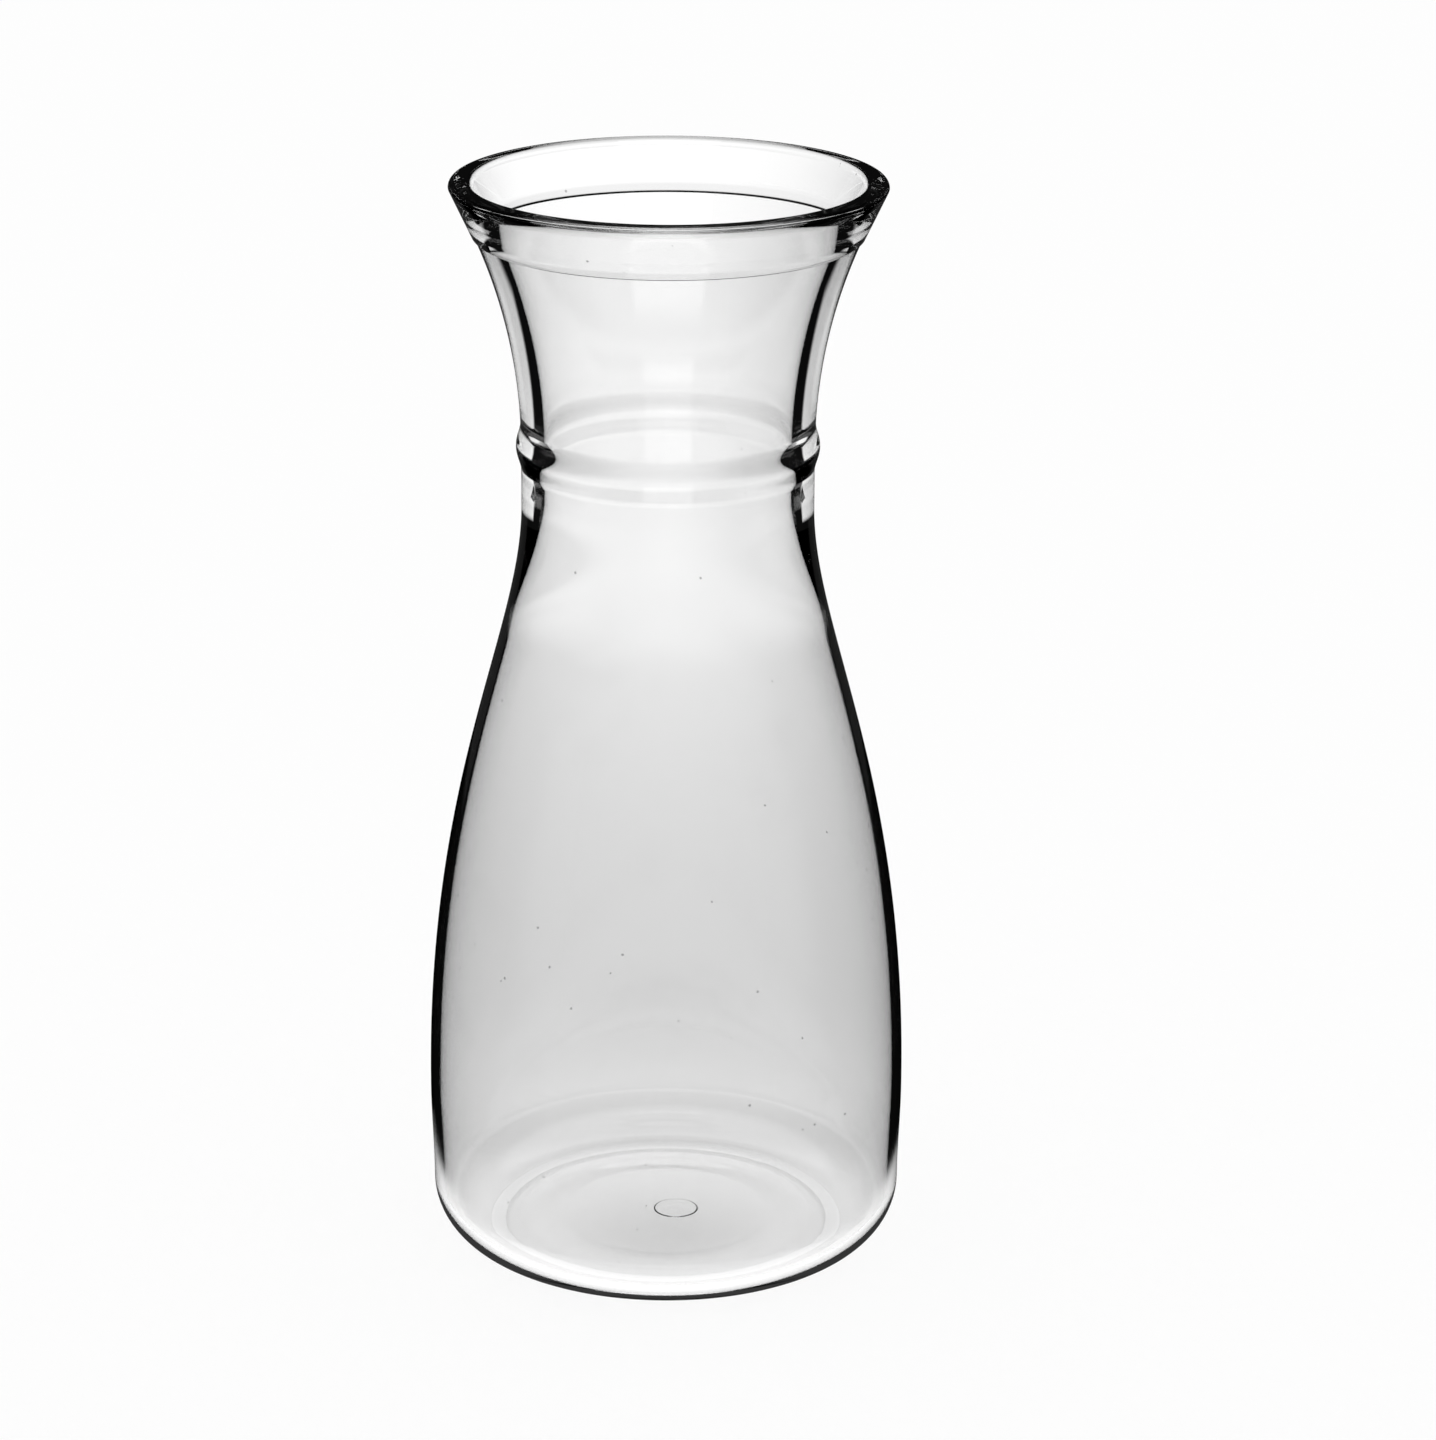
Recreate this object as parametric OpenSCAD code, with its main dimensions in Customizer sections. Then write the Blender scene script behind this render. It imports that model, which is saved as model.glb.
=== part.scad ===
// Clear water carafe: a flared mouth and neck on a bottle-shaped body, with no handle and no lid.
// Millimetres, +Z up. The origin is on the table, on the axis of the carafe.

/* [Body] */
// Largest outer diameter, at the belly
belly_d = 101.6; // [84:0.2:120]
// Height of the belly above the table
belly_z = 34; // [28:0.5:56]
// Outer diameter just above the rounded heel
heel_d = 100.4; // [84:0.2:118]
// Radius of the rounded heel
heel_r = 12.2; // [8:0.2:15]
// Height of the body's top edge, where the collar sits
body_h = 170.3; // [150:0.1:200]
// How far the belly's upright direction carries up into the shoulder
belly_pull = 70; // [30:1:85]
// How far the throat's upright direction carries down into the shoulder
throat_pull = 28; // [20:1:60]
// Height of the straight throat below the collar
throat_h = 7.6; // [5:0.2:16]
// Wall thickness of the body
body_wall = 2.1; // [1.2:0.1:2.6]
// Height over which the thick throat thins down to the body wall
taper_h = 30; // [10:1:40]

/* [Neck] */
// Outer diameter of the throat, above and below the collar
throat_d = 60.8; // [54:0.2:68]
// Wall thickness of the neck at the throat
neck_wall = 4.8; // [3:0.1:5.6]
// Wall thickness of the neck at its top, under the rim, measured level
neck_top_wall = 4.7; // [3.6:0.1:5.6]
// Height of the bare neck between the collar and the rim
neck_h = 39.1; // [30:0.1:55]
// Depth of the socket in the body that takes the neck's tail
socket_h = 4.3; // [3:0.1:8]

/* [Collar] */
// Height of the collar round the neck joint
collar_h = 10; // [6:0.1:13]
// How far the collar stands proud of the throat
collar_proud = 1; // [0.6:0.1:2]

/* [Rim] */
// Outer diameter of the mouth, at the lip
mouth_d = 89.8; // [80:0.2:100]
// Height of the rim, from the edge of its skirt to the top of the lip
rim_h = 11.6; // [9:0.2:18]
// Thickness of the lip
lip_wall = 4.1; // [3.2:0.1:5]
// Radius on both edges of the lip
lip_round = 1.2; // [0.5:0.1:1.5]
// How far the skirt stands proud of the neck
skirt_proud = 0.7; // [0.4:0.1:1.6]
// Height of the slanted edge under the skirt
skirt_edge = 0.55; // [0.3:0.05:1]
// Overlap of the rim over the top of the neck
rim_lap = 4; // [2.5:0.5:6]

/* [Base] */
// Thickness of the floor
floor_wall = 2.6; // [2:0.1:3.6]
// Width of the flat ring that the carafe stands on
foot_w = 3.1; // [2:0.1:5]
// Width of the flange that seats the base disc from below
flange_w = 3.5; // [1:0.1:5]
// Thickness of that flange
flange_h = 1; // [0.6:0.1:1.4]
// How far the underside of the base disc stays off the table at its edge
base_lift = 0.4; // [0.2:0.1:0.8]
// How much higher the middle of the base disc is than its edge
base_rise = 0.6; // [0.3:0.1:2.5]
// Width of the ramp from the edge of the base disc to its raised middle
base_ramp = 9; // [4:0.2:12]
// Width of the eased edge on both sides of the seam round the base disc
seam_edge = 0.8; // [0.4:0.1:1.4]
// Depth of that eased edge
seam_drop = 0.05; // [0.02:0.01:0.12]
// Diameter of the moulding gate's plug in the base
gate_d = 9.4; // [6:0.2:14]
// Distance of the plug from the axis
gate_x = 2.2; // [0:0.1:5]
// Depth of the plug's pocket
gate_depth = 1.1; // [0.6:0.1:1.6]
// How far the plug stands above the floor
gate_proud = 0.1; // [0.1:0.1:0.8]
// Chamfer round the top of the plug and round its pocket
gate_edge = 0.3; // [0.1:0.1:0.5]

/* [Joints] */
// Radial room for the bond in every spigot and socket
bond_gap = 0.1; // [0.05:0.05:0.2]

/* [Hidden] */
$fn = 180;
clear = [0.86, 0.89, 0.9, 0.45];
clear_dark = [0.72, 0.76, 0.78, 0.6];
curve_steps = 36;
arc_steps = 10;
cut = 1;

// Heights, from the table up
ledge_z = body_h - socket_h;
throat_z = body_h - throat_h;
collar_top = body_h + collar_h;
skirt_z = collar_top + neck_h;
top_z = skirt_z + rim_h;
flare_z = body_h + collar_h / 2;

// Radii of the throat, and of the lap that halves its wall
throat_r = throat_d / 2;
bore_r = throat_r - neck_wall;
tail_r = throat_r - neck_wall / 2;

// The flare is one arc inside, from the bore to the lip, and one outside, from the throat to the rim
mouth_r = mouth_d / 2;
mouth_in_r = mouth_r - lip_wall;
flare_run = mouth_in_r - bore_r;
flare_rise = top_z - flare_z;
flare_in = (flare_run * flare_run + flare_rise * flare_rise) / (2 * flare_run);
neck_run = inner_flare(skirt_z) + neck_top_wall - throat_r;
neck_rise = skirt_z - flare_z;
flare_out = (neck_run * neck_run + neck_rise * neck_rise) / (2 * neck_run);
lap_top = skirt_z + rim_lap;
lap_r = (inner_flare(lap_top) + outer_flare(skirt_z)) / 2;

// Radii of the foot and the base, from the heel inwards
heel_out = heel_d / 2;
foot_out = heel_out - heel_r;
foot_in = foot_out - foot_w;
flange_r = foot_in - bond_gap;
base_r = foot_in - flange_w;
disc_r = base_r - bond_gap;
ramp_r = disc_r - seam_edge;
flange_top = base_lift + flange_h;
pad_z = floor_wall + base_rise;

function smooth(u) = u * u * (3 - 2 * u);
function mix(a, b, u) = a + (b - a) * u;
function flare(from, r, z) = from + r - sqrt(r * r - pow(z - flare_z, 2));
function inner_flare(z) = flare(bore_r, flare_in, z);
function outer_flare(z) = flare(throat_r, flare_out, z);
function steps(from, to, n) = [for (i = [0:n]) mix(from, to, i / n)];
function after_first(from, to, n) = [for (i = [1:n]) mix(from, to, i / n)];
function reversed(points) = [for (i = [len(points) - 1:-1:0]) points[i]];

// Points on an arc that may be squashed: centre, two half axes, start and end angle
function arc(c, a, b, from, to) =
    [for (i = [0:arc_steps]) let (t = mix(from, to, i / arc_steps)) c + [a * cos(t), b * sin(t)]];

// Cubic curve that leaves its first point upright and arrives at its last point upright
function upright_curve(p, p_pull, q, q_pull) =
    [for (t = after_first(0, 1, curve_steps)) let (s = 1 - t)
        s * s * s * p + 3 * s * s * t * (p + [0, p_pull])
        + 3 * s * t * t * (q - [0, q_pull]) + t * t * t * q];

// Outside of the body, from just above the heel to the top edge
function side_points() = concat(
    [for (z = after_first(heel_r, belly_z, arc_steps))
        [mix(heel_out, belly_d / 2, smooth((z - heel_r) / (belly_z - heel_r))), z]],
    upright_curve([belly_d / 2, belly_z], belly_pull, [throat_r, throat_z], throat_pull),
    [for (z = after_first(throat_z, body_h, arc_steps)) [throat_r, z]]);

// Wall thickness at a height: thin in the body, thick at the throat
function wall_at(z) =
    mix(body_wall, neck_wall, smooth(max(0, min(1, (z - ledge_z + taper_h) / taper_h))));

// Rise of the base disc along its ramp, by the share of the ramp that is climbed
function ramp(from_z) =
    [for (u = steps(0, 1, arc_steps)) [ramp_r - base_ramp * u, from_z + base_rise * smooth(u)]];

module lathe(points) rotate_extrude() polygon(points);

// Rounded lip with a skirt that drops over the top of the neck
module rim_ring() {
    neck_r = outer_flare(skirt_z);
    skirt_r = neck_r + skirt_proud;
    lip_z = top_z - lip_round;
    lip_in = inner_flare(lip_z);
    color(clear)
    lathe(concat(
        [[lap_r + bond_gap, skirt_z], [neck_r, skirt_z], [skirt_r, skirt_z + skirt_edge]],
        arc([mouth_r - lip_round, lip_z], lip_round, lip_round, 0, 90),
        arc([lip_in + lip_round, lip_z], lip_round, lip_round, 90, 180),
        [for (z = after_first(lip_z, lap_top, arc_steps)) [inner_flare(z), z]],
        [[lap_r + bond_gap, lap_top]]));
}

// Flared neck, with a spigot for the rim above and a tail for the collar and the body below
module neck_funnel() {
    color(clear)
    lathe(concat(
        [[tail_r, ledge_z], [tail_r, collar_top]],
        [for (z = steps(collar_top, skirt_z, curve_steps)) [outer_flare(z), z]],
        [[lap_r, skirt_z], [lap_r, lap_top]],
        [for (z = steps(lap_top, flare_z, curve_steps)) [inner_flare(z), z]],
        [[bore_r, ledge_z]]));
}

// Soft round collar, held between the neck's shoulder and the body's top edge
module neck_collar() {
    neck_r = outer_flare(collar_top);
    color(clear_dark)
    lathe(concat(
        [[tail_r + bond_gap, collar_top], [tail_r + bond_gap, body_h]],
        [for (u = steps(0, 1, 2 * arc_steps))
            [mix(throat_r, neck_r, u) + collar_proud * (1 - cos(360 * u)) / 2, mix(body_h, collar_top, u)]]));
}

// Bottle-shaped body: foot, heel, belly, shoulder and the socket for the neck
module body_shell() {
    side = side_points();
    lining = [for (p = side) if (p.y < ledge_z) [p.x - wall_at(p.y), p.y]];
    color(clear)
    lathe(concat(
        [[foot_in, 0]],
        arc([foot_out, heel_r], heel_r, heel_r, -90, 0),
        side,
        [[tail_r + bond_gap, body_h], [tail_r + bond_gap, ledge_z], [bore_r, ledge_z]],
        reversed(lining),
        arc([foot_out, heel_r], heel_out - body_wall - foot_out, heel_r - floor_wall, 0, -90),
        [[base_r + seam_edge, floor_wall], [base_r, floor_wall - seam_drop]],
        [[base_r, flange_top], [foot_in, flange_top]]));
}

// Room for the plug in the base disc, with a chamfer round its top
module gate_pocket() {
    pocket_d = gate_d + 2 * bond_gap;
    translate([gate_x, 0, pad_z - gate_depth]) cylinder(d = pocket_d, h = gate_depth + cut);
    translate([gate_x, 0, pad_z - gate_edge])
        cylinder(d1 = pocket_d, d2 = pocket_d + 2 * (gate_edge + cut), h = gate_edge + cut);
}

// Pushed-up floor, seated from below by its flange
module base_disc() {
    color(clear_dark)
    difference() {
        lathe(concat(
            [[0, base_lift + base_rise]], reversed(ramp(base_lift)),
            [[flange_r, base_lift], [flange_r, flange_top]],
            [[disc_r, flange_top], [disc_r, floor_wall - seam_drop]],
            ramp(floor_wall), [[0, pad_z]]));
        gate_pocket();
    }
}

// Small round plug where the moulding was filled
module gate_plug() {
    plug_r = gate_d / 2;
    plug_h = gate_depth + gate_proud;
    color(clear_dark)
    translate([gate_x, 0, pad_z - gate_depth])
        lathe([[0, 0], [plug_r, 0], [plug_r, plug_h - gate_edge], [plug_r - gate_edge, plug_h], [0, plug_h]]);
}

rim_ring();
neck_funnel();
neck_collar();
body_shell();
base_disc();
gate_plug();
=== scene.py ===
# %% [markdown]
# # A clear carafe
# This lesson dresses a clear plastic water carafe: a rounded lip on a flared neck, a ring round the
# throat, a bottle-shaped body and a pushed-up base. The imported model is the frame. Its boxes give the
# sizes that can be measured, and the walls, which a box can't show, are the part's own values.

# %% Load the frame
import math

import bmesh
import bpy
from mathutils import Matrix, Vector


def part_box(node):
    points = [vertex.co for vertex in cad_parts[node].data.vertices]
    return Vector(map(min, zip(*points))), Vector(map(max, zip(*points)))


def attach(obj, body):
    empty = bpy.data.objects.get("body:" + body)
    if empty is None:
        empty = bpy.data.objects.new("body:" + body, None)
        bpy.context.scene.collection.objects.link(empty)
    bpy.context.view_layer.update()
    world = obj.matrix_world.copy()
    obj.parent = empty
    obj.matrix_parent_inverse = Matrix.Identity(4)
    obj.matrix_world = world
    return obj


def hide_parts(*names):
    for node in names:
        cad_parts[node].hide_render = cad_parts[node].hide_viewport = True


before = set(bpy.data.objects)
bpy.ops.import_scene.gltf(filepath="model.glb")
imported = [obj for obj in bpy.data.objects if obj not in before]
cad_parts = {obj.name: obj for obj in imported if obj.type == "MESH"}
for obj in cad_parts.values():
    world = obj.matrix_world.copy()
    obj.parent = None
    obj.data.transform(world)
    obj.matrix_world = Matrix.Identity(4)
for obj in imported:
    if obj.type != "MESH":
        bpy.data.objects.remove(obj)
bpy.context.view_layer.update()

MM = 0.001

# %% [markdown]
# ## Camera
# The photograph looks down on the carafe: the mouth is a flat ellipse and the base a rounder one. The
# ratio of those two ellipses gives how far off the camera stood, and their rows give its lens and tilt.
# The carafe stands a little left of the middle, which a small sideways shift of the lens does without
# turning the camera.

# %% Camera
PHOTO_WIDE, PHOTO_HIGH = 1436, 1440
FOCAL_PIXELS = 4831
CAMERA_AWAY, CAMERA_HIGH = 965 * MM, 440.5 * MM
CAMERA_TILT = math.radians(18.63)
CAMERA_ROLL = math.radians(0.17)
AXIS_PIXEL = 667.2
SENSOR = 36

camera = bpy.data.objects.new("camera", bpy.data.cameras.new("camera"))
bpy.context.scene.collection.objects.link(camera)
camera.data.sensor_width = SENSOR
camera.data.lens = FOCAL_PIXELS * SENSOR / PHOTO_HIGH
camera.data.shift_x = (PHOTO_WIDE / 2 - AXIS_PIXEL) / PHOTO_HIGH
camera.location = (0, -CAMERA_AWAY, CAMERA_HIGH)
camera.rotation_mode = "ZYX"
camera.rotation_euler = (math.pi / 2 - CAMERA_TILT, 0, CAMERA_ROLL)
bpy.context.scene.camera = camera
print("lens", round(camera.data.lens, 1), "mm, shift", round(camera.data.shift_x, 4))

# %% [markdown]
# ## Sizes
# Clear plastic shows its inside as much as its outside, so both faces of every wall are needed. Each
# node's box gives its widest radius and its lowest and highest points. The six pieces share these, so
# they meet exactly.


# %% Sizes from the frame
def reach(node):
    """Half the width of a node's box, and its lowest and highest z, in millimetres."""
    low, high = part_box(node)
    return (high.x - low.x) / 2 / MM, low.z / MM, high.z / MM


mouth_r, skirt_z, top_z = reach("rim_ring")
neck_top_r, ledge_z, lap_top = reach("neck_funnel")
collar_r, _, collar_top = reach("neck_collar")
belly_r, table_z, body_top = reach("body_shell")
flange_r, base_low, pad_z = reach("base_disc")
gate_r, gate_low, gate_high = reach("gate_plug")
gate_x = sum(corner.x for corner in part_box("gate_plug")) / 2 / MM
print("mouth", round(mouth_r, 1), "collar", round(collar_r, 1), "belly", round(belly_r, 1))

# %% [markdown]
# ## The curves of the wall
# Three curves make the carafe. The flare of the neck is one arc inside and another outside. The shoulder
# is a cubic curve that is upright at both ends, as a blown bottle's is. The wall is thick at the throat
# and thins out below, because the plastic was stretched there when the body was blown.

# %% Curves
THROAT_R, NECK_WALL, LIP_WALL = 30.4, 4.8, 4.1
bore_r = THROAT_R - NECK_WALL
tail_r = THROAT_R - NECK_WALL / 2
flare_z = (body_top + collar_top) / 2
flare_run, flare_rise = mouth_r - LIP_WALL - bore_r, top_z - flare_z
flare_arc = (flare_run ** 2 + flare_rise ** 2) / (2 * flare_run)
neck_run, neck_rise = neck_top_r - THROAT_R, skirt_z - flare_z
neck_arc = (neck_run ** 2 + neck_rise ** 2) / (2 * neck_run)


def steps(start, end, count):
    return [start + (end - start) * i / count for i in range(count + 1)]


def smooth(u):
    u = min(1, max(0, u))
    return u * u * (3 - 2 * u)


def bow(start_r, radius, z):
    """Radius at a height of a wall that leaves the throat upright and bows outwards."""
    return start_r + radius - math.sqrt(radius ** 2 - (z - flare_z) ** 2)


def flare(z):
    return bow(bore_r, flare_arc, z)


def neck_skin(z):
    return bow(THROAT_R, neck_arc, z)


def arc(middle, wide, high, start, end, count=14):
    """Points along an arc that may be squashed, from one angle to another in degrees."""
    turns = [math.radians(a) for a in steps(start, end, count)]
    return [(middle[0] + wide * math.cos(t), middle[1] + high * math.sin(t)) for t in turns]


print("the flare is an arc of", round(flare_arc, 1), "mm inside and", round(neck_arc, 1), "mm outside")

# %% [markdown]
# ## Turning a section
# Every piece is turned about one axis, so a piece is a section carried round in a circle. A Screw
# modifier would do that, but here each stretch of the section also names its finish. Skin is the
# polished face that bends light. Bond is where two pieces are joined, and light goes straight on there.
# So the pieces stay separate, closed solids and still look like one clear wall.

# %% Turn a section
SIDES = 192
CREASE = math.radians(30)


def turned(name, stretches, finishes, off_axis=0.0):
    """A closed solid. stretches is a list of (finish, points), each starting where the one before ended."""
    points, spans = [stretches[0][1][0]], []
    for finish, line in stretches:
        points += line[1:]
        spans += [finish] * (len(line) - 1)
    if points[0] == points[-1]:
        points.pop()
    mesh = bmesh.new()
    rings = []
    for point in points:
        r, z = point[:2]
        x = point[2] if len(point) > 2 else off_axis
        turns = [math.tau * i / SIDES for i in range(SIDES)] if r else [0]
        places = [((x + r * math.cos(t)) * MM, r * math.sin(t) * MM, z * MM) for t in turns]
        rings.append([mesh.verts.new(place) for place in places])
    order = list(finishes)
    for k, finish in enumerate(spans):
        a, b = rings[k], rings[(k + 1) % len(rings)]
        for i in range(SIDES):
            j = (i + 1) % SIDES
            corners = [a[0]] if len(a) == 1 else [a[i], a[j]]
            corners += [b[0]] if len(b) == 1 else [b[j], b[i]]
            mesh.faces.new(corners).material_index = order.index(finish)
    bmesh.ops.recalc_face_normals(mesh, faces=mesh.faces)
    piece = bpy.data.objects.new(name, bpy.data.meshes.new(name))
    mesh.to_mesh(piece.data)
    mesh.free()
    piece.data.shade_smooth()
    piece.data.set_sharp_from_angle(angle=CREASE)
    for finish in order:
        piece.data.materials.append(finishes[finish])
    bpy.context.scene.collection.objects.link(piece)
    print(name, len(piece.data.polygons), "faces")
    return piece


# %% [markdown]
# ## Shader sums
# A finish is a small sum: a tint less some specks, a roughness plus some scuffs. One class wraps a
# socket so that such sums can be written as sums, and one method adds any other node.


# %% Shader sums
class Wire:
    """An output socket of a node tree. A sum with it adds Math nodes."""

    def __init__(self, bench, socket):
        self.bench = bench
        self.socket = socket

    def sum(self, operation, first, second):
        return self.bench.node("ShaderNodeMath", {"operation": operation}, {0: first, 1: second})

    def __add__(self, other):
        return self.sum("ADD", self, other)

    def __radd__(self, other):
        return self.sum("ADD", other, self)

    def __sub__(self, other):
        return self.sum("SUBTRACT", self, other)

    def __rsub__(self, other):
        return self.sum("SUBTRACT", other, self)

    def __mul__(self, other):
        return self.sum("MULTIPLY", self, other)

    def __rmul__(self, other):
        return self.sum("MULTIPLY", other, self)

    def __lt__(self, other):
        return self.sum("LESS_THAN", self, other)

    def __gt__(self, other):
        return self.sum("GREATER_THAN", self, other)

    def __or__(self, other):
        return self.sum("MAXIMUM", self, other)


class Bench:
    """The node tree of a material or of the world."""

    def __init__(self, owner):
        owner.use_nodes = True
        self.tree = owner.node_tree
        self.tree.nodes.clear()

    def node(self, kind, settings=None, sockets=None, output=0):
        """Adds a node of a kind, sets it up, fills its sockets with values or wires, and gives one output."""
        made = self.tree.nodes.new(kind)
        for name, value in (settings or {}).items():
            setattr(made, name, value)
        for name, value in (sockets or {}).items():
            if isinstance(value, Wire):
                self.tree.links.new(value.socket, made.inputs[name])
            else:
                made.inputs[name].default_value = value
        return Wire(self, made.outputs[output]) if made.outputs else made

    def ray(self, kind):
        return self.node("ShaderNodeLightPath", None, None, kind)

    def ease(self, value, low, high, at_low, at_high):
        """A value that goes smoothly from at_low to at_high while another goes from low to high."""
        return self.node("ShaderNodeMapRange", {"interpolation_type": "SMOOTHSTEP"}, {
            "Value": value, "From Min": low, "From Max": high, "To Min": at_low, "To Max": at_high})

    def grey(self, level):
        return self.node("ShaderNodeCombineColor", None, {0: level, 1: level, 2: level})


# %% [markdown]
# ## Clear plastic
# The carafe is clear and colourless, with an index of refraction of about 1.58. Such plastic bends light
# hard: the middle of the carafe shows what is behind it and the edges show what stands to the sides. Up
# close it isn't perfect. The skin is faintly wavy, a few dark specks sit in it, and washing has left
# patches of fine scuffs. On the rim the tool left rings as well. Shadows pass through the plastic as
# through thin grey glass, because true caustics would only be noise.

# %% Clear plastic
INDEX = 1.58
SHADE = 0.96
SPECK_CELLS, SPECK_SIZE, SPECK_DARK = 95, 0.03, 0.65
WAVE_SCALE, WAVE_DEEP = 30, 0.00004
SCUFF_SCALE, SCUFF_ROUGH, SCUFF_GREY = 45, 0.012, 0.02
SCUFF_FROM, SCUFF_TO = 0.55, 0.75
TOOL_SCALE, TOOL_SLANT = 1400, 0.6


def clear_plastic(name, tint, rings=0.0, scuffs=SCUFF_ROUGH, deep=WAVE_DEEP):
    """The skin of a piece. rings and deep are the depths of tool marks and waves, in metres."""
    material = bpy.data.materials.new(name)
    bench = Bench(material)
    place = bench.node("ShaderNodeTexCoord", None, None, "Object")
    near = bench.node("ShaderNodeTexVoronoi", None, {"Vector": place, "Scale": SPECK_CELLS}, "Distance")
    cloud = bench.node("ShaderNodeTexNoise", None, {"Vector": place, "Scale": SCUFF_SCALE, "Detail": 4.0})
    specks = (near < SPECK_SIZE) * SPECK_DARK
    patch = bench.ease(cloud, SCUFF_FROM, SCUFF_TO, 0.0, 1.0)
    tone = tint - SCUFF_GREY * patch
    rough = scuffs * patch
    wave = bench.node("ShaderNodeTexNoise", None, {"Vector": place, "Scale": WAVE_SCALE, "Detail": 1.0})
    height = wave * deep
    if rings:
        high = bench.node("ShaderNodeSeparateXYZ", None, {0: place}, "Z")
        flat = bench.node("ShaderNodeVectorMath", {"operation": "MULTIPLY"}, {0: place, 1: (1, 1, 0)})
        away = bench.node("ShaderNodeVectorMath", {"operation": "LENGTH"}, {0: flat}, "Value")
        along = high + away * TOOL_SLANT
        trace = bench.node("ShaderNodeTexNoise", {"noise_dimensions": "1D"}, {
            "W": along, "Scale": TOOL_SCALE})
        height = height + trace * rings
    skin = bench.node("ShaderNodeBump", None, {"Strength": 1.0, "Distance": 1.0, "Height": height})
    plastic = bench.node("ShaderNodeBsdfPrincipled", None, {
        "Base Color": bench.grey(tone * (1 - specks)), "Roughness": rough, "Normal": skin,
        "IOR": INDEX, "Transmission Weight": 1.0})
    through = bench.node("ShaderNodeBsdfTransparent", None, {"Color": (SHADE, SHADE, SHADE, 1)})
    mixed = bench.node("ShaderNodeMixShader", None, {
        0: bench.ray("Is Shadow Ray") | bench.ray("Is Diffuse Ray"), 1: plastic, 2: through})
    bench.node("ShaderNodeOutputMaterial", None, {"Surface": mixed})
    print(name, "tint", tint, "tool rings", rings, "m")
    return material


def bond_line(name):
    """The joint between two pieces, where light goes straight on."""
    material = bpy.data.materials.new(name)
    bench = Bench(material)
    through = bench.node("ShaderNodeBsdfTransparent", None, {"Color": (1, 1, 1, 1)})
    bench.node("ShaderNodeOutputMaterial", None, {"Surface": through})
    return material


WALL_TINT, RIM_TINT, BASE_TINT = 0.93, 0.97, 0.95
RIM_RINGS, RIM_SCUFFS, RIM_WAVE, BASE_SCUFFS = 0.0000005, 0.004, 0.00001, 0.03
bond = bond_line("bond")
wall_finish = {"skin": clear_plastic("clear_wall", WALL_TINT), "bond": bond}
rim_skin_finish = clear_plastic("clear_rim", RIM_TINT, rings=RIM_RINGS, scuffs=RIM_SCUFFS, deep=RIM_WAVE)
rim_finish = {"skin": rim_skin_finish, "bond": bond}
base_finish = {"skin": clear_plastic("clear_base", BASE_TINT, scuffs=BASE_SCUFFS), "bond": bond}

# %% [markdown]
# ## Rim ring
# The lip is a thick ring with both edges rounded, so that it is kind to the mouth and sheds drops. Its
# outside slants in towards the neck and ends in a narrow step. On the photograph that step is the fine
# line under the lip. Inside, the rim takes up the flare of the neck without a step.

# %% Rim ring
LIP_ROUND, SKIRT_PROUD, SKIRT_EDGE = 1.2, 0.7, 0.55
lip_z = top_z - LIP_ROUND
lap_r = (flare(lap_top) + neck_top_r) / 2
skirt_r, skirt_top = neck_top_r + SKIRT_PROUD, skirt_z + SKIRT_EDGE
rim_skin = [(neck_top_r, skirt_z)]
rim_skin += [(skirt_r + (mouth_r - skirt_r) * u, skirt_top + (lip_z - skirt_top) * u) for u in steps(0, 1, 6)]
rim_lip = arc((mouth_r - LIP_ROUND, lip_z), LIP_ROUND, LIP_ROUND, 0, 90)
rim_inside = arc((flare(lip_z) + LIP_ROUND, lip_z), LIP_ROUND, LIP_ROUND, 90, 180)
rim_lip.append(rim_inside[0])
rim_inside += [(flare(z), z) for z in steps(lip_z, lap_top, 20)[1:]]
rim_ring = turned("rim_ring_clear", [
    ("skin", rim_skin),
    ("skin", rim_lip),
    ("skin", rim_inside),
    ("bond", [rim_inside[-1], (lap_r, lap_top), (lap_r, skirt_z), rim_skin[0]]),
], rim_finish)

# %% [markdown]
# ## Neck funnel
# The neck is the thickest wall of the carafe. It flares from the throat up to the rim, so that drink
# pours in a sheet. A spigot on top goes up into the rim, and a tail below goes through the collar into
# the body.

# %% Neck funnel
neck_outside = [(neck_skin(z), z) for z in steps(collar_top, skirt_z, 50)]
neck_inside = [(flare(z), z) for z in steps(lap_top, flare_z, 50)] + [(bore_r, ledge_z)]
neck_funnel = turned("neck_funnel_clear", [
    ("skin", neck_outside),
    ("bond", [neck_outside[-1], (lap_r, skirt_z), (lap_r, lap_top), neck_inside[0]]),
    ("skin", neck_inside),
    ("bond", [neck_inside[-1], (tail_r, ledge_z), (tail_r, collar_top), neck_outside[0]]),
], wall_finish)

# %% [markdown]
# ## Neck collar
# A soft bead runs round the throat and stops the hand from slipping. It swells and falls like one wave,
# without an edge, so it shows only as a grey band across the clear neck.

# %% Neck collar
COLLAR_PROUD = 1.0
neck_low_r = neck_skin(collar_top)
collar_skin = [(THROAT_R + (neck_low_r - THROAT_R) * u + COLLAR_PROUD * (1 - math.cos(math.tau * u)) / 2,
                body_top + (collar_top - body_top) * u) for u in steps(0, 1, 32)]
neck_collar = turned("neck_collar_clear", [
    ("skin", collar_skin),
    ("bond", [collar_skin[-1], (tail_r, collar_top), (tail_r, body_top), collar_skin[0]]),
], rim_finish)

# %% [markdown]
# ## Body shell
# The body stands on a narrow flat ring, turns up through a round heel, is widest low down and draws in
# to the throat. Its outside is drawn first. The inside follows it at the wall's thickness, thin at the
# belly and thick where it meets the neck. The flat of the foot lies on the paper, so light goes straight
# on there as in a bond.

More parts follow.
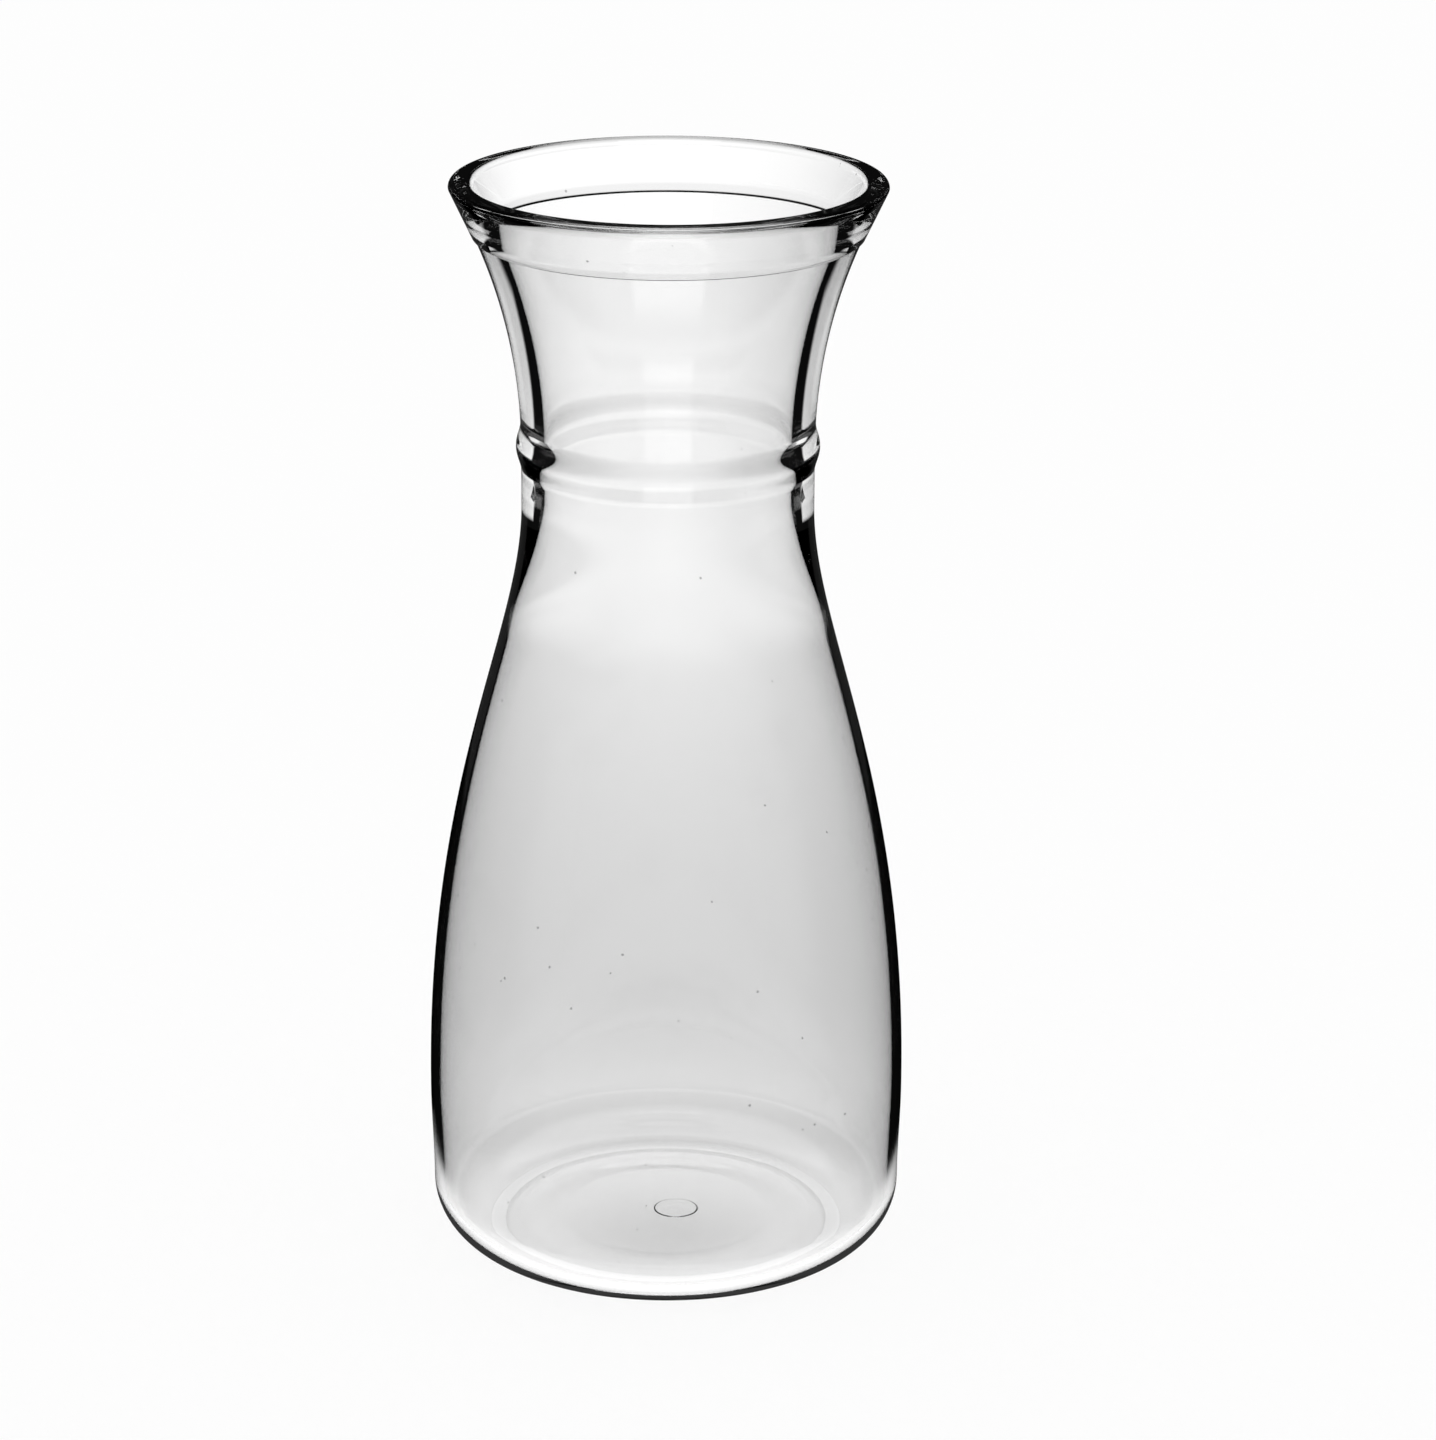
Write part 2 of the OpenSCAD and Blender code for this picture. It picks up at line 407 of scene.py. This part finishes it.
# %% Body shell
BODY_WALL, FLOOR_WALL, TAPER = 2.1, 2.6, 30
HEEL_SIDE, HEEL_R = 50.2, 12.2
BELLY_Z, BELLY_PULL, THROAT_PULL, THROAT_HIGH = 34, 70, 28, 7.6
BOND, FLANGE_WIDE, FLANGE_HIGH = 0.1, 3.5, 1.0
SEAM_EDGE, SEAM_DROP = 0.8, 0.025
foot_out, foot_in = HEEL_SIDE - HEEL_R, flange_r + BOND
base_r, flange_top = foot_in - FLANGE_WIDE, base_low + FLANGE_HIGH
throat_z = body_top - THROAT_HIGH


def shoulder(t):
    """A point on the outside of the body between the belly and the throat."""
    s = 1 - t
    below = (belly_r, BELLY_Z), (belly_r, BELLY_Z + BELLY_PULL)
    above = (THROAT_R, throat_z - THROAT_PULL), (THROAT_R, throat_z)
    pulls = below + above
    weights = s ** 3, 3 * s * s * t, 3 * s * t * t, t ** 3
    return tuple(sum(w * p[k] for w, p in zip(weights, pulls)) for k in (0, 1))


def wall_at(z):
    return BODY_WALL + (NECK_WALL - BODY_WALL) * smooth((z - ledge_z + TAPER) / TAPER)


heel = arc((foot_out, HEEL_R), HEEL_R, HEEL_R, -90, 0, 20)
side = [(HEEL_SIDE + (belly_r - HEEL_SIDE) * smooth((z - HEEL_R) / (BELLY_Z - HEEL_R)), z)
        for z in steps(HEEL_R, BELLY_Z, 14)]
side += [shoulder(t) for t in steps(0, 1, 70)[1:]]
side += [(THROAT_R, z) for z in steps(throat_z, body_top, 8)[1:]]
outside = heel + side[1:]
inside = [(bore_r, ledge_z)] + [(r - wall_at(z), z) for r, z in reversed(side) if z < ledge_z]
inside += arc((foot_out, HEEL_R), HEEL_R - BODY_WALL, HEEL_R - FLOOR_WALL, 0, -90, 20)[1:]
inside += [(base_r + SEAM_EDGE, FLOOR_WALL), (base_r, FLOOR_WALL - SEAM_DROP)]
body_shell = turned("body_shell_clear", [
    ("skin", outside),
    ("bond", [outside[-1], (tail_r, body_top), (tail_r, ledge_z), inside[0]]),
    ("skin", inside),
    ("bond", [inside[-1], (base_r, flange_top), (foot_in, flange_top), (foot_in, table_z), outside[0]]),
], wall_finish)

# %% [markdown]
# ## Base disc
# The floor is pushed up a little, as in most bottles, so that the carafe stands on its rim and doesn't
# rock. Seen through the body the ramp round it is a soft double ring. In the middle is a shallow pocket
# with a chamfered edge, for the plug.

# %% Base disc
BASE_RAMP, GATE_EDGE = 9.0, 0.2
base_rise = pad_z - FLOOR_WALL
groove_z = gate_high - GATE_EDGE
groove_r = gate_r + pad_z - groove_z


def ramp(low):
    return [(base_r - SEAM_EDGE - BASE_RAMP * u, low + base_rise * smooth(u)) for u in steps(0, 1, 16)]


disc_top = [(base_r, FLOOR_WALL - SEAM_DROP)] + ramp(FLOOR_WALL)
disc_top += [(groove_r, pad_z, gate_x), (gate_r, groove_z, gate_x)]
base_disc = turned("base_disc_clear", [
    ("skin", [(0, base_low + base_rise)] + ramp(base_low)[::-1] + [(foot_in, base_low)]),
    ("bond", [(foot_in, base_low), (foot_in, flange_top), (base_r, flange_top), disc_top[0]]),
    ("skin", disc_top),
    ("bond", [disc_top[-1], (gate_r, gate_low, gate_x), (0, gate_low, gate_x)]),
], base_finish)

# %% [markdown]
# ## Gate plug
# The small disc a little right of the middle of the floor is where the mould was filled. Here it is a
# plug with a chamfer, and the two chamfers make the fine double outline that the photograph shows.

# %% Gate plug
gate_plug = turned("gate_plug_clear", [
    ("bond", [(0, gate_low), (gate_r, gate_low), (gate_r, groove_z)]),
    ("skin", [(gate_r, groove_z), (gate_r - GATE_EDGE, gate_high), (0, gate_high)]),
], base_finish, gate_x)

# %% [markdown]
# ## On the frame
# Nothing on a carafe moves, so all six pieces ride on the one body of the frame. Each replaces its own
# node there.

# %% Put the pieces on the frame
pieces = {"rim_ring": (rim_ring, "clear_rim"), "neck_funnel": (neck_funnel, "clear_wall"),
          "neck_collar": (neck_collar, "clear_rim"), "body_shell": (body_shell, "clear_wall"),
          "base_disc": (base_disc, "clear_base"), "gate_plug": (gate_plug, "clear_base")}
for node, (piece, slot) in pieces.items():
    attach(piece, "root")
    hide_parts(node)
print(len(pieces), "pieces on the frame")

# %% [markdown]
# ## Paper
# The carafe stands on plain white paper. Seen directly the paper is white, with the carafe's faint
# shadow. Lamps could light it, but their light would be noisy after so many faces of plastic. So for
# light that comes through the plastic the paper's light and shade are painted on, by place: how far
# from the carafe, how far aside and how far back.

# %% Paper
FLOOR_HALF, FLOOR_DROP = 6.0, 0.1 * MM


def stage_sheet(name, corners, material, rows=0):
    """A sheet of the studio, in metres: flat, or a strip between two lines of rows points each."""
    faces = [(i, i + 1, rows + i + 1, rows + i) for i in range(rows - 1)] or [tuple(range(len(corners)))]
    sheet = bpy.data.objects.new(name, bpy.data.meshes.new(name))
    sheet.data.from_pydata(corners, [], faces)
    sheet.data.materials.append(material)
    bpy.context.scene.collection.objects.link(sheet)
    return sheet


paper = bpy.data.materials.new("white_paper_with_painted_light")
bench = Bench(paper)
place = bench.node("ShaderNodeTexCoord", None, None, "Object")
away = bench.node("ShaderNodeVectorMath", {"operation": "LENGTH"}, {0: place}, "Value")
across = bench.node("ShaderNodeSeparateXYZ", None, {0: place}, "X")
back = bench.node("ShaderNodeSeparateXYZ", None, {0: place}, "Y")
aside = across | -1 * across
square = ((-1, -1), (1, -1), (1, 1), (-1, 1))
floor_corners = [(x * FLOOR_HALF, y * FLOOR_HALF, -FLOOR_DROP) for x, y in square]
stage_sheet("floor", floor_corners, paper)
print("paper", 2 * FLOOR_HALF, "m wide")

# %% [markdown]
# ## Painted light and shade on the paper
# Through the plastic the paper is a little grey near the carafe and brighter further off, as in a
# photograph where the light falls from above and behind. In front of the heel a bright patch stands for
# the light that the wall gathers there. Under the base the paper brightens towards the foot. Every pair
# below is where a change begins and where it ends, in metres.

# %% Brightness of the paper
UNDER_MIDDLE, UNDER_WIDE = (0, -0.012, 0), 0.042
UNDER_LEVEL, EDGE_LEVEL = 1.01, 1.31
HEEL_LEVEL, HEEL_BACK, HEEL_FADE = 1.40, (0.0, 0.045), (0.085, 0.12)
FOOT_LEVEL, NEAR_LEVEL, FAR_LEVEL, BACK_LEVEL, END_LEVEL = 0.92, 0.81, 1.18, 1.20, 1.05
NEAR_FADE, FAR_FADE, BACK_FADE, END_FADE = (0.07, 0.15), (0.12, 0.68), (0.72, 1.00), (1.05, 1.50)

# Painted light under the base, brighter towards the foot.
middle = bench.node("ShaderNodeVectorMath", {"operation": "DISTANCE"}, {0: place, 1: UNDER_MIDDLE}, "Value")
under = bench.ease(middle, 0.0, UNDER_WIDE, UNDER_LEVEL, EDGE_LEVEL)
# Painted light: a bright patch in front of the heel, for the light that the wall gathers there.
painted_heel_light = bench.ease(back, *HEEL_BACK, HEEL_LEVEL - FOOT_LEVEL, 0.0)
painted_heel_light = painted_heel_light * bench.ease(away, *HEEL_FADE, 1.0, 0.0)
# Painted shade near the carafe and painted light further off, as if the light fell from above and behind.
open_floor = painted_heel_light + bench.ease(away, *NEAR_FADE, FOOT_LEVEL, NEAR_LEVEL)
open_floor = open_floor + bench.ease(away, *FAR_FADE, 0.0, FAR_LEVEL - NEAR_LEVEL)
open_floor = open_floor + bench.ease(away, *BACK_FADE, 0.0, BACK_LEVEL - FAR_LEVEL)
open_floor = open_floor + bench.ease(away, *END_FADE, 0.0, END_LEVEL - BACK_LEVEL)
print("paper level", NEAR_LEVEL, "near the carafe and", FAR_LEVEL, "further off")

# %% [markdown]
# ## Painted window light on the paper
# Light that the plastic mirrors can come from in front, where the photographer's side of the room is
# darker, and the paper there is painted darker for it. A bright wedge of painted light lies there on the
# paper below the window. Counting the mirrored faces on a ray's way tells such light from light that
# came straight through.

# %% Window light on the paper
MIRRORED, MIRRORED_OFTEN = 0.5, 1.5
FRONT_LEVEL, FRONT_FADE = 0.5, (-1.2, -0.5)
WEDGE_LEVEL, WEDGE_SPREAD, WEDGE_EDGE = 1.1, 0.42, (-0.02, 0.02)
WEDGE_NEAR, WEDGE_FAR = (-0.50, -0.30), (-5.5, -3.0)

mirrored = bench.ray("Glossy Depth") > MIRRORED
# Painted shade on the paper in front, for mirrored light.
open_floor = open_floor * (1 - mirrored * bench.ease(back, *FRONT_FADE, 1 - FRONT_LEVEL, 0.0))
# Painted light: a bright wedge on the paper below the window, for mirrored light.
painted_wedge = bench.ease(aside + WEDGE_SPREAD * back, *WEDGE_EDGE, WEDGE_LEVEL, 0.0)
painted_wedge = painted_wedge * bench.ease(back, *WEDGE_NEAR, 1.0, 0.0) * bench.ease(back, *WEDGE_FAR, 0.0, 1.0)
open_floor = open_floor + mirrored * painted_wedge
print("wedge of window light from", -WEDGE_NEAR[1], "m in front")

# %% [markdown]
# ## Painted shade at the foot and sides
# Under the foot the paper is a touch darker at the back, where the ring of the foot shades it. Off to
# the sides it is dimmer too, and a little more so on the right, as in the photograph.

# %% Foot and sides
FOOT_EDGE, FOOT_DIP = (0.034, 0.040), 0.13
RING_IN, RING_OUT, RING_BACK = (0.0338, 0.0346), (0.0376, 0.0386), (-0.03, -0.01)
SIDE_AT, SIDE_LEVEL, SIDE_FADE = (0.0, 0.12), 0.88, (0.45, 0.64)
RIGHT_LEVEL, RIGHT_FADE = 0.90, (1.0, 1.6)
WING_AT, WING_LEVEL, WING_FROM, WING_FADE = (0.05, 0.16), 0.93, (0.38, 0.48), (0.62, 0.95)

outside_foot = bench.ease(away, *FOOT_EDGE, 0.0, 1.0)
level = under * (1 - outside_foot) + open_floor * outside_foot
# Painted shadow of the foot ring, darker at the back.
ring = bench.ease(away, *RING_IN, 0.0, FOOT_DIP) * bench.ease(away, *RING_OUT, 1.0, 0.0)
level = level - ring * bench.ease(back, *RING_BACK, 0.0, 1.0)
# Painted shade off to the sides, a little more on the right.
dimmed = bench.ease(aside, *SIDE_AT, 0.0, 1 - SIDE_LEVEL) * bench.ease(away, *SIDE_FADE, 1.0, 0.0)
right_dimmed = bench.ease(across, *SIDE_AT, 0.0, 1 - RIGHT_LEVEL) * bench.ease(away, *RIGHT_FADE, 1.0, 0.0)
wing_dimmed = bench.ease(aside, *WING_AT, 0.0, 1 - WING_LEVEL) * bench.ease(away, *WING_FADE, 1.0, 0.0)
wing_dimmed = wing_dimmed * bench.ease(away, *WING_FROM, 0.0, 1.0)
level = level * (1 - dimmed) * (1 - right_dimmed) * (1 - wing_dimmed)
print("paper level at the sides", SIDE_LEVEL)

# %% [markdown]
# ## Painted black edges
# A clear wall in a white room has black edges where black card stands out of the picture. Near the edge
# light enters the wall, is mirrored on its inside and leaves again, so it goes through two faces only.
# The paper is painted black for such light, standing in for the black card, apart from a ring at the
# heel and a tongue behind the neck, where the edge of the wall is white.

# %% Black edges
ONE_WALL = 2.5
HEEL_RING, NEAR_BLACK, OFTEN_BLACK, FAR_BLACK = (0.064, 0.074), (0.40, 0.46), (0.62, 0.70), (1.2, 2.0)
TONGUE_SPREAD, TONGUE_EDGE, PAINTED_EDGE_DARK = 0.78, (-0.03, 0.03), 0.995


def in_one_wall(bench):
    """One for light mirrored inside a wall that it entered and left once, and nothing for other light."""
    return (bench.ray("Glossy Depth") > MIRRORED) * (bench.ray("Transmission Depth") < ONE_WALL)


often = (bench.ray("Glossy Depth") > MIRRORED_OFTEN) * bench.ease(away, *OFTEN_BLACK, 1.0, 0.0)
near = bench.ease(away, *NEAR_BLACK, 1.0, 0.0)
far = bench.ease(away, *FAR_BLACK, 0.0, 1.0)
beside = bench.ease(aside - TONGUE_SPREAD * back, *TONGUE_EDGE, 0.0, 1.0)
# Painted black on the paper for light mirrored inside one wall, where black card would be.
black = in_one_wall(bench) * bench.ease(away, *HEEL_RING, 0.0, 1.0) * (often | near | far | beside)
level = level * (1 - PAINTED_EDGE_DARK * black)
print("black for light inside the wall from", HEEL_RING[1], "m")

# %% [markdown]
# ## Finish of the paper
# Seen directly the paper is matt and glows a little, so that it comes out white and still takes the
# carafe's shadow. Through the plastic it shows the level from above, and as a gleam on the outside it is
# almost black, because the photograph has no gleams there.

# %% Finish of the paper
PAPER, PAPER_GLOW, GLEAM_LEVEL = 0.95, 0.7, 0.03
direct = bench.ray("Is Camera Ray")
bent = bench.ray("Is Transmission Ray")
gloss = bench.ray("Is Glossy Ray")
gleam = gloss * (1 - bent)
# Through the plastic the paper shows its painted light and shade; in reflections off the outside it is
# painted almost black.
seen = direct + (1 - direct) * level * (1 - (1 - GLEAM_LEVEL) * gleam)
glow = bench.node("ShaderNodeEmission", None, {"Color": bench.grey(seen), "Strength": 1.0})
matt = bench.node("ShaderNodeBsdfDiffuse", None, {"Color": (PAPER, PAPER, PAPER, 1)})
mixed = bench.node("ShaderNodeMixShader", None, {0: direct * PAPER_GLOW | bent | gloss, 1: matt, 2: glow})
bench.node("ShaderNodeOutputMaterial", None, {"Surface": mixed})
print("paper of", PAPER, "white")

# %% [markdown]
# ## Black fence
# A fence of black card stands round the carafe, 5 cm clear of it. Only light that was mirrored inside
# one wall meets it, and that draws the black edges of the shoulder, whose light would fly past the black
# paper. The neck looks out over the fence.

# %% Black fence
FENCE_AWAY, FENCE_HIGH, FENCE_GREY = 0.10, 0.132, 0.005


def shown_where(bench, share, shader):
    """Ends a finish that is clear, apart from a share that shows a shader."""
    clear = bench.node("ShaderNodeBsdfTransparent", None, {"Color": (1, 1, 1, 1)})
    mixed = bench.node("ShaderNodeMixShader", None, {0: share, 1: clear, 2: shader})
    bench.node("ShaderNodeOutputMaterial", None, {"Surface": mixed})


def unlit(sheet):
    """Leaves a sheet to be seen only by light that has gone through the plastic."""
    sheet.visible_camera = sheet.visible_diffuse = sheet.visible_shadow = sheet.visible_glossy = False


black_card = bpy.data.materials.new("black_card")
bench = Bench(black_card)
card = bench.node("ShaderNodeBsdfDiffuse", None, {"Color": (FENCE_GREY, FENCE_GREY, FENCE_GREY, 1)})
shown_where(bench, in_one_wall(bench), card)
round_it = square + square[:1]
fence_corners = [(x * FENCE_AWAY, y * FENCE_AWAY, z) for z in (0.0, FENCE_HIGH) for x, y in round_it]
unlit(stage_sheet("black_fence", fence_corners, black_card, len(round_it)))
print("fence", FENCE_HIGH, "m high")

# %% [markdown]
# ## Window
# A tall bright stripe stands in the neck of the carafe. It is a window in front of it, mirrored by the
# back of the neck. A lit pane does it, seen only by mirrored light. It fades out at the foot, so that
# the stripe has no lower edge.

# %% Window
WINDOW_AWAY, WINDOW_LEVEL, WINDOW_FADE = 0.10, 1.6, 0.03
WINDOW_FOOT, WINDOW_HEAD, WINDOW_LOW, WINDOW_HIGH = 0.064, 0.070, 0.20, 0.34
pane = bpy.data.materials.new("window_pane")
bench = Bench(pane)
place = bench.node("ShaderNodeTexCoord", None, None, "Object")
high = bench.node("ShaderNodeSeparateXYZ", None, {0: place}, "Z")
light = bench.ease(high, WINDOW_LOW, WINDOW_LOW + WINDOW_FADE, 0.0, 1.0)
light = light * (bench.ray("Glossy Depth") > MIRRORED)
glow = bench.node("ShaderNodeEmission", None, {"Color": (1, 1, 1, 1), "Strength": WINDOW_LEVEL})
shown_where(bench, light, glow)
pane_corners = [(-WINDOW_FOOT, -WINDOW_AWAY, WINDOW_LOW), (WINDOW_FOOT, -WINDOW_AWAY, WINDOW_LOW),
                (WINDOW_HEAD, -WINDOW_AWAY, WINDOW_HIGH), (-WINDOW_HEAD, -WINDOW_AWAY, WINDOW_HIGH)]
unlit(stage_sheet("window", pane_corners, pane))
print("window from", WINDOW_LOW, "to", WINDOW_HIGH, "m")

# %% [markdown]
# ## Sky
# The room is evenly white and gives soft light from all round. Through one wall it is bright only near
# the horizon and dark above, which draws the black line of the step round the back of the mouth. High up
# a lamp hangs, and in front there is a faint haze. Straight through both walls the room is white, and
# inside one wall it is black.

# %% Sky
TWO_WALLS = 3.5
SKY_DARK, SKY_LIGHT = 0.01, 1.0
SKY_EDGE = math.sin(math.radians(0.5)), math.sin(math.radians(4))
LAMP_EDGE = math.sin(math.radians(35)), math.sin(math.radians(45))
HAZE_LEVEL, HAZE_HIGH, HAZE_FRONT = 0.5, math.sin(math.radians(35)), (-0.6, -0.1)
world = bpy.data.worlds.new("studio")
bpy.context.scene.world = world
bench = Bench(world)
way = bench.node("ShaderNodeTexCoord", None, None, "Generated")
up = bench.node("ShaderNodeSeparateXYZ", None, {0: way}, "Z")
ahead = bench.node("ShaderNodeSeparateXYZ", None, {0: way}, "Y")
haze = bench.ease(up, 0.0, HAZE_HIGH, HAZE_LEVEL, 0.0) * bench.ease(ahead, *HAZE_FRONT, 1.0, 0.0)
through = (bench.ease(up, *SKY_EDGE, SKY_LIGHT, SKY_DARK) | haze) + bench.ease(up, *LAMP_EDGE, 0.0, SKY_LIGHT)
straight = (bench.ray("Transmission Depth") > TWO_WALLS) * (bench.ray("Glossy Depth") < MIRRORED)
through = straight * SKY_LIGHT + (1 - straight) * (1 - in_one_wall(bench)) * through
gloss = bench.ray("Is Glossy Ray")
bent = bench.ray("Is Transmission Ray")
plain = 1 - (gloss | bent)
sky = bench.node("ShaderNodeBackground", None, {
    "Color": bench.grey(plain + bent * through + gloss * (1 - bent) * SKY_DARK), "Strength": 1.0})
bench.node("ShaderNodeOutputWorld", None, {"Surface": sky})
print("room level", SKY_LIGHT)

# %% [markdown]
# ## Render settings
# Light passes through up to eight faces of plastic here, so it may bounce often. Bright caustics would
# only add noise, and they stay off.

# %% Render settings
scene = bpy.context.scene
scene.view_settings.view_transform = "Standard"
scene.cycles.max_bounces = 24
scene.cycles.transmission_bounces = 24
scene.cycles.glossy_bounces = 16
scene.cycles.transparent_max_bounces = 48
scene.cycles.caustics_reflective = False
scene.cycles.caustics_refractive = False
print("up to", scene.cycles.max_bounces, "bounces")
